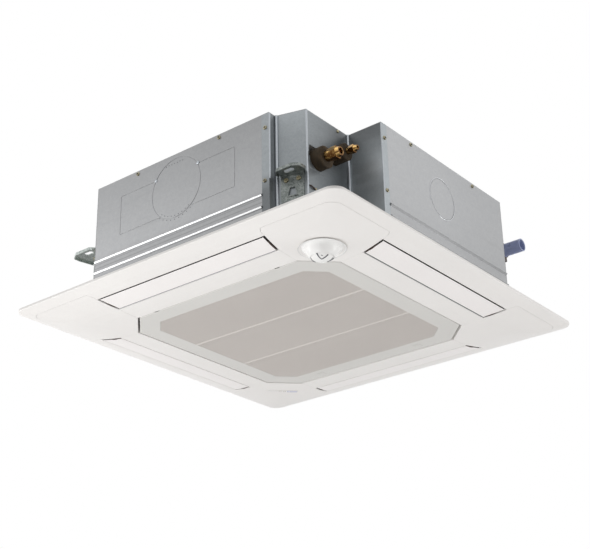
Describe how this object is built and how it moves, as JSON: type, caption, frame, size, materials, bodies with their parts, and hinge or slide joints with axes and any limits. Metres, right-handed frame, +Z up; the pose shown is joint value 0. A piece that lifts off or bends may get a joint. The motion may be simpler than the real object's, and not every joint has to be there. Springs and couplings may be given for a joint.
{
  "type": "ceiling cassette air conditioner",
  "caption": "Four-way ceiling cassette indoor unit: steel casing hung on rods, square white panel with four swinging vanes, hinged intake grille and turning sensor.",
  "frame": {"origin": "centre of the rectangle of the four suspension slots, on the upper face of the hanger tabs", "axes": "+Z up, along the hanging rods; X along the 605 mm slot pitch, pipe connections point to +X; Y along the 810 mm slot pitch"},
  "size_m": [0.95, 0.95, 0.3305],
  "materials": {
    "galvanised_steel": "satin",
    "corner_steel": "satin",
    "hanger_steel": "satin",
    "screw_zinc": "satin",
    "liner_foam": "matte",
    "aluminium_fins": "satin",
    "coil_plate": "satin",
    "copper": "satin",
    "brass": "satin",
    "sleeve_foam": "matte",
    "drain_plastic": "satin",
    "clip_plastic": "satin",
    "pan_foam": "matte",
    "pump_plastic": "satin",
    "float_plastic": "satin",
    "motor_paint": "satin",
    "fan_plastic": "satin",
    "board": "satin",
    "panel_white": "satin",
    "vane_white": "satin",
    "grille_ring": "satin",
    "grille_grey": "satin",
    "filter_net": "matte",
    "window_tint": "gloss",
    "sensor_white": "satin"
  },
  "bodies": {
    "casing": {"bell_mouth": "fan_plastic", "casing_screws": "screw_zinc", "circuit_board": "board", "coil_end_plates": "coil_plate", "coil_return_bends": "copper", "control_box": "coil_plate", "control_box_lid": "coil_plate", "corner_cover_front_left": "panel_white", "corner_cover_front_right": "panel_white", "corner_cover_rear_left": "panel_white", "corner_cover_rear_right": "panel_white", "corner_plates": "galvanised_steel", "drain_clip": "clip_plastic", "drain_hose": "pump_plastic", "drain_pan": "pan_foam", "drain_pump": "pump_plastic", "drain_socket": "drain_plastic", "fan_motor": "motor_paint", "float_stem": "pump_plastic", "foam_liner": "liner_foam", "front_side_plate": "galvanised_steel", "gas_flare_nut": "brass", "gas_pipe": "copper", "hanger_front_left": "hanger_steel", "hanger_front_right": "hanger_steel", "hanger_rear_left": "hanger_steel", "hanger_rear_right": "hanger_steel", "hanger_screws": "screw_zinc", "heat_exchanger_fins": "aluminium_fins", "left_side_plate": "galvanised_steel", "liquid_flare_nut": "brass", "liquid_pipe": "copper", "motor_mounts": "clip_plastic", "panel_bolts": "screw_zinc", "panel_foam": "liner_foam", "panel_frame": "panel_white", "panel_seal": "liner_foam", "pipe_insulation": "sleeve_foam", "piping_corner_plate": "corner_steel", "rear_side_plate": "galvanised_steel", "receiver_window": "window_tint", "right_side_plate": "galvanised_steel", "top_plate": "galvanised_steel", "vane_bushes": "clip_plastic", "vane_motors": "pump_plastic"},
    "fan": {"fan_wheel": "fan_plastic", "motor_shaft": "screw_zinc", "hub_nut": "screw_zinc"},
    "float": {"drain_float": "float_plastic"},
    "vane_front_body": {"vane_front": "vane_white"},
    "vane_right_body": {"vane_right": "vane_white"},
    "vane_rear_body": {"vane_rear": "vane_white"},
    "vane_left_body": {"vane_left": "vane_white"},
    "sensor": {"sensor_dome": "sensor_white"},
    "grille": {"grille_frame": "grille_ring", "intake_grille": "grille_grey", "air_filter": "filter_net"},
    "latch_left": {"grille_latch_left": "panel_white"},
    "latch_right": {"grille_latch_right": "panel_white"}
  },
  "joints": [
    {"name": "fan_spin", "type": "hinge", "parent": "casing", "child": "fan", "pos_m": [0, 0, 0.068], "axis": [0, 0, 1], "continuous": true},
    {"name": "float_slide", "type": "slide", "parent": "casing", "child": "float", "axis": [0, 0, 1], "range_m": [0, 0.01]},
    {"name": "front_vane_hinge", "type": "hinge", "parent": "casing", "child": "vane_front_body", "pos_m": [0, -0.383, -0.14], "axis": [1, 0, 0], "range_deg": [0, 70]},
    {"name": "right_vane_hinge", "type": "hinge", "parent": "casing", "child": "vane_right_body", "pos_m": [0.383, 0, -0.14], "axis": [0, 1, 0], "range_deg": [0, 70]},
    {"name": "rear_vane_hinge", "type": "hinge", "parent": "casing", "child": "vane_rear_body", "pos_m": [0, 0.383, -0.14], "axis": [-1, 0, 0], "range_deg": [0, 70]},
    {"name": "left_vane_hinge", "type": "hinge", "parent": "casing", "child": "vane_left_body", "pos_m": [-0.383, 0, -0.14], "axis": [0, -1, 0], "range_deg": [0, 70]},
    {"name": "sensor_scan", "type": "hinge", "parent": "casing", "child": "sensor", "pos_m": [0.312, -0.312, -0.152], "axis": [0, 0, 1], "range_deg": [-160, 160]},
    {"name": "grille_hinge", "type": "hinge", "parent": "casing", "child": "grille", "pos_m": [0, -0.284, -0.148], "axis": [-1, 0, 0], "range_deg": [0, 90]},
    {"name": "left_latch_slide", "type": "slide", "parent": "grille", "child": "latch_left", "axis": [0, 1, 0], "range_m": [-0.008, 0], "stiffness_N_per_m": 150},
    {"name": "right_latch_slide", "type": "slide", "parent": "grille", "child": "latch_right", "axis": [0, 1, 0], "range_m": [-0.008, 0], "stiffness_N_per_m": 150}
  ]
}
